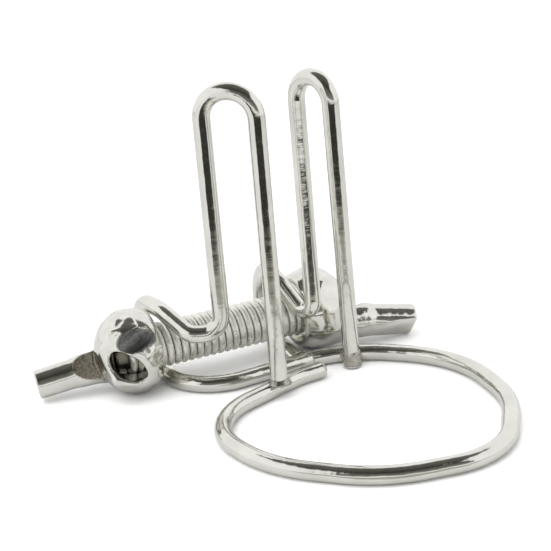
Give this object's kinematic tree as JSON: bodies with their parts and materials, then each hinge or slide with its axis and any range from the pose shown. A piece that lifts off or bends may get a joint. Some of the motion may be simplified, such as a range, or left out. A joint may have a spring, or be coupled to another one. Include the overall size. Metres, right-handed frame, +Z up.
{
  "type": "wire test tube holder",
  "caption": "Chrome wire test tube holder: a flat ring with two upright wire loops and a sprung spindle with swivelling lugs.",
  "frame": {"origin": "on the table under the centre of the tube ring", "axes": "+X along the spindle from the left lug to the right lug, +Y from the ring towards the spindle, +Z up"},
  "size_m": [0.0822, 0.0807, 0.0646],
  "materials": {
    "chromed_wire": "polished",
    "spring_steel": "polished",
    "rod_steel": "satin",
    "forged_chrome": "satin"
  },
  "bodies": {
    "frame": {"ring_wire": "chromed_wire", "left_loop_wire": "chromed_wire", "right_loop_wire": "chromed_wire"},
    "spindle": {"coil_spring": "spring_steel", "core_rod": "rod_steel"},
    "left_lug_body": {"left_lug": "forged_chrome"},
    "right_lug_body": {"right_lug": "forged_chrome"}
  },
  "joints": [
    {"name": "spindle_turn", "type": "hinge", "parent": "frame", "child": "spindle", "pos_m": [-0.013, 0.0385, 0.00885], "axis": [1, 0, 0], "continuous": true},
    {"name": "left_lug_swivel", "type": "hinge", "parent": "spindle", "child": "left_lug_body", "pos_m": [-0.0335, 0.0385, 0.00885], "axis": [1, 0, 0], "continuous": true},
    {"name": "right_lug_swivel", "type": "hinge", "parent": "spindle", "child": "right_lug_body", "pos_m": [0.0073, 0.0385, 0.00885], "axis": [1, 0, 0], "continuous": true}
  ]
}
